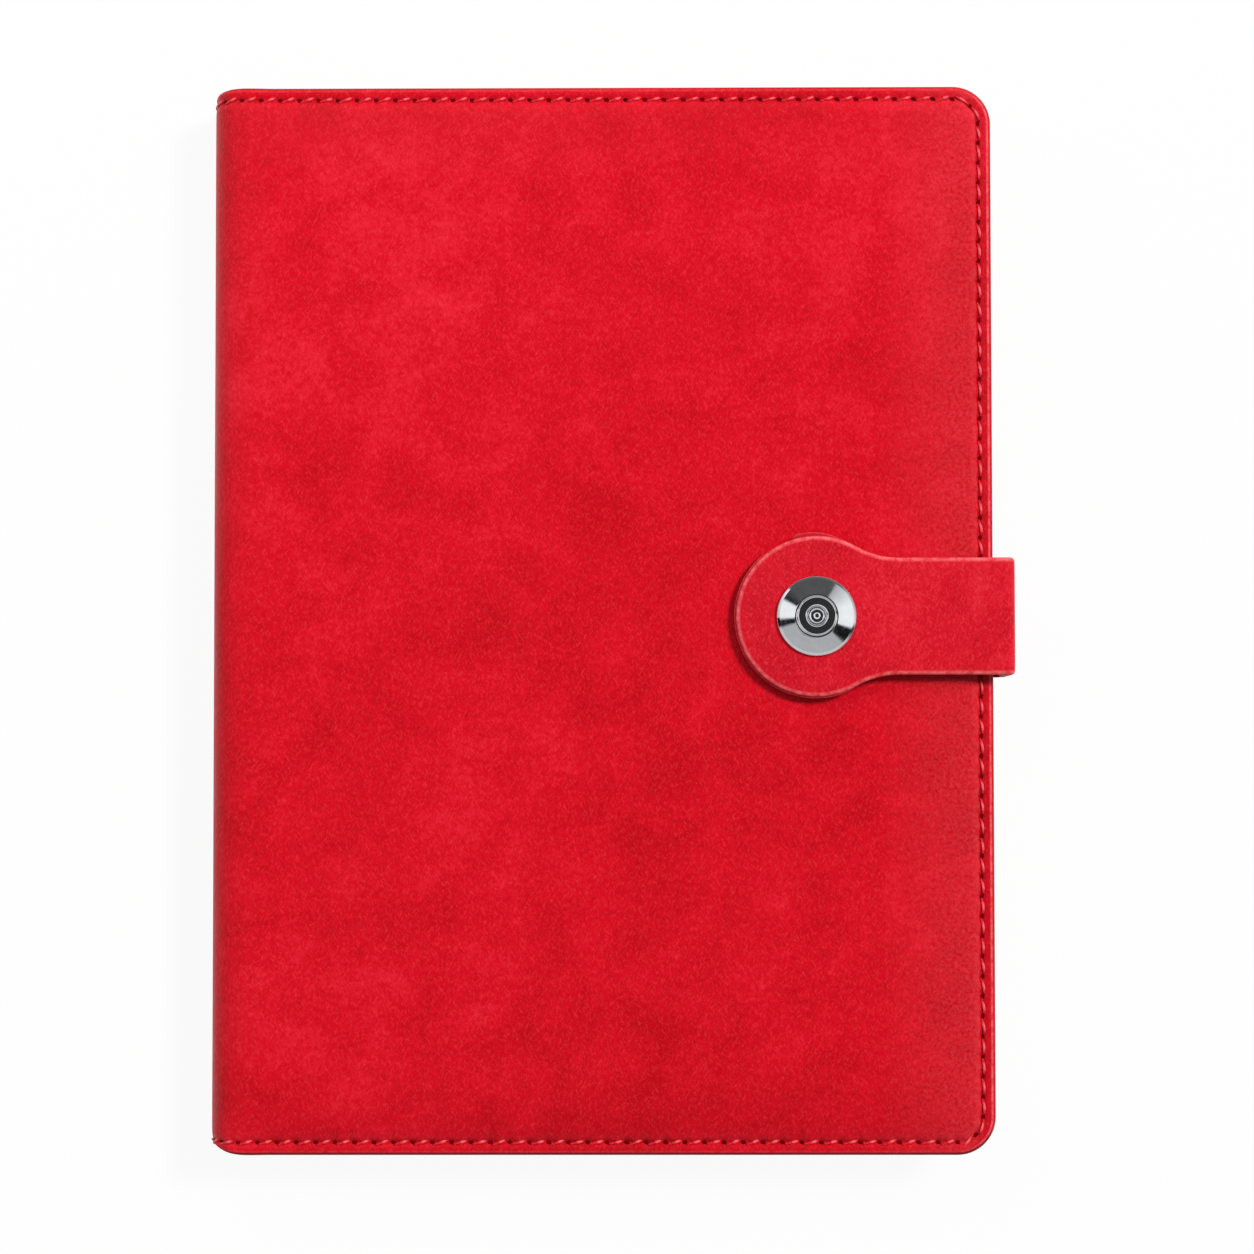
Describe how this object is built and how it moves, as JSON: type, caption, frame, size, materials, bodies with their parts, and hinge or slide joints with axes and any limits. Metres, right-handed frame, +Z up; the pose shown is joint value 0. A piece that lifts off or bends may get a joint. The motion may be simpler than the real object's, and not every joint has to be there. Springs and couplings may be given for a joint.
{
  "type": "snap closure notebook",
  "caption": "Closed notebook with a padded leather cover, rounded spine and stitched lip, shut by a round-ended strap with a metal press snap over the fore-edge.",
  "frame": {"origin": "middle of the base, under the middle of the closed notebook with its strap", "axes": "+Z up out of the front cover, +Y along the spine, +X from the spine to the fore-edge"},
  "size_m": [0.1684, 0.224, 0.0272],
  "materials": {
    "cover_leather": "grained, semi-gloss",
    "lining_leather": "matte",
    "foam": "soft",
    "board": "matte",
    "card": "matte",
    "paper": "matte",
    "cloth": "woven",
    "snap_metal": "polished"
  },
  "bodies": {
    "back_cover": {"back_skin": "cover_leather", "back_padding": "foam", "back_board": "board", "back_lining": "lining_leather", "back_sleeve": "lining_leather", "strap_anchor": "cover_leather"},
    "spine_lower": {"spine_lower_skin": "cover_leather", "spine_lower_lining": "lining_leather"},
    "spine_upper": {"spine_upper_skin": "cover_leather", "spine_upper_lining": "lining_leather"},
    "front_cover": {"front_skin": "cover_leather", "front_padding": "foam", "front_board": "board", "front_lining": "lining_leather", "front_sleeve": "lining_leather", "front_card": "card", "snap_stud": "snap_metal", "snap_stud_rivet": "snap_metal"},
    "lower_pages": {"back_card": "card", "section_5": "paper", "section_6": "paper", "section_7": "paper", "section_8": "paper", "spine_cloth_back": "cloth"},
    "upper_pages": {"section_1": "paper", "section_2": "paper", "section_3": "paper", "section_4": "paper", "spine_cloth_front": "cloth"},
    "strap_wrap": {"strap_wrap_face": "cover_leather", "strap_wrap_lining": "lining_leather"},
    "strap_tab": {"strap_tab_face": "cover_leather", "strap_tab_lining": "lining_leather", "snap_cap": "snap_metal", "snap_cap_rivet": "snap_metal", "snap_socket": "snap_metal", "snap_spring": "snap_metal"}
  },
  "joints": [
    {"name": "back_fold", "type": "hinge", "parent": "back_cover", "child": "spine_lower", "pos_m": [-0.0737, 0, 0], "axis": [0, -1, 0], "range_deg": [0, 36]},
    {"name": "spine_mid_fold", "type": "hinge", "parent": "spine_lower", "child": "spine_upper", "pos_m": [-0.0842, 0, 0.0105], "axis": [0, -1, 0], "range_deg": [0, 108]},
    {"name": "front_fold", "type": "hinge", "parent": "spine_upper", "child": "front_cover", "pos_m": [-0.0737, 0, 0.021], "axis": [0, -1, 0], "range_deg": [0, 36]},
    {"name": "insert_slide", "type": "slide", "parent": "back_cover", "child": "lower_pages", "axis": [-1, 0, 0], "range_m": [0, 0.015]},
    {"name": "page_turn", "type": "hinge", "parent": "lower_pages", "child": "upper_pages", "pos_m": [-0.0732, 0, 0.0105], "axis": [0, -1, 0], "range_deg": [0, 180]},
    {"name": "strap_wrap_fold", "type": "hinge", "parent": "back_cover", "child": "strap_wrap", "pos_m": [0.08317, 0, 0.00302], "axis": [0, 1, 0], "range_deg": [0, 85]},
    {"name": "strap_tab_fold", "type": "hinge", "parent": "strap_wrap", "child": "strap_tab", "pos_m": [0.08356, 0, 0.02436], "axis": [0, 1, 0], "range_deg": [0, 90]}
  ],
  "couplings": [
    {"joint": "spine_mid_fold", "follows": "back_fold", "ratio": 3},
    {"joint": "front_fold", "follows": "back_fold", "ratio": 1},
    {"joint": "insert_slide", "follows": "back_fold", "m_per_rad": 0.02387},
    {"joint": "page_turn", "follows": "back_fold", "ratio": 5}
  ]
}
